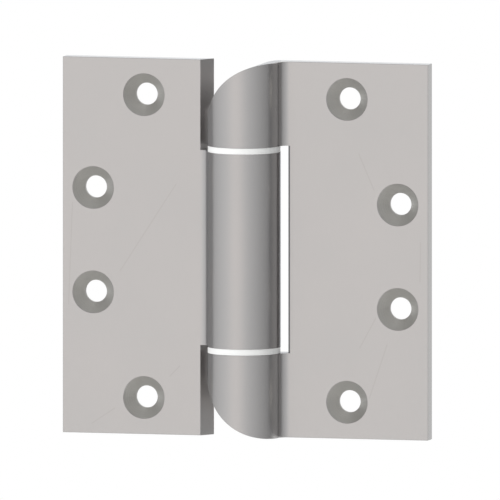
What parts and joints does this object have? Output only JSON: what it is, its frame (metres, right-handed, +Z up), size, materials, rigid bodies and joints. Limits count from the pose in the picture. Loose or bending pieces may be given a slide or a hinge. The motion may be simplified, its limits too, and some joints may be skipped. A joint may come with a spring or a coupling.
{
  "type": "full mortise hinge",
  "caption": "Full mortise door hinge with countersunk leaves, a long centre knuckle between swept outer knuckles, a concealed pin and white bearing rings.",
  "frame": {"origin": "on the pin axis, half way up the hinge, which is the middle of its box", "axes": "+Z up the pin, +X from the pin towards the free edge of the leaf with two knuckles, +Y from the front faces to the backs of the leaves"},
  "size_m": [0.1142, 0.0222, 0.1142],
  "materials": {
    "leaf_metal": "satin",
    "pin_steel": "ground",
    "bearing_plastic": "moulded white"
  },
  "bodies": {
    "frame_side": {"frame_leaf": "leaf_metal", "hinge_pin": "pin_steel", "pin_plug": "pin_steel"},
    "door_side": {"door_leaf": "leaf_metal", "upper_bearing": "bearing_plastic", "lower_bearing": "bearing_plastic"}
  },
  "joints": [
    {"name": "door_swing", "type": "hinge", "parent": "frame_side", "child": "door_side", "pos_m": [0, 0, 0], "axis": [0, 0, 1], "range_deg": [-90, 180]}
  ]
}
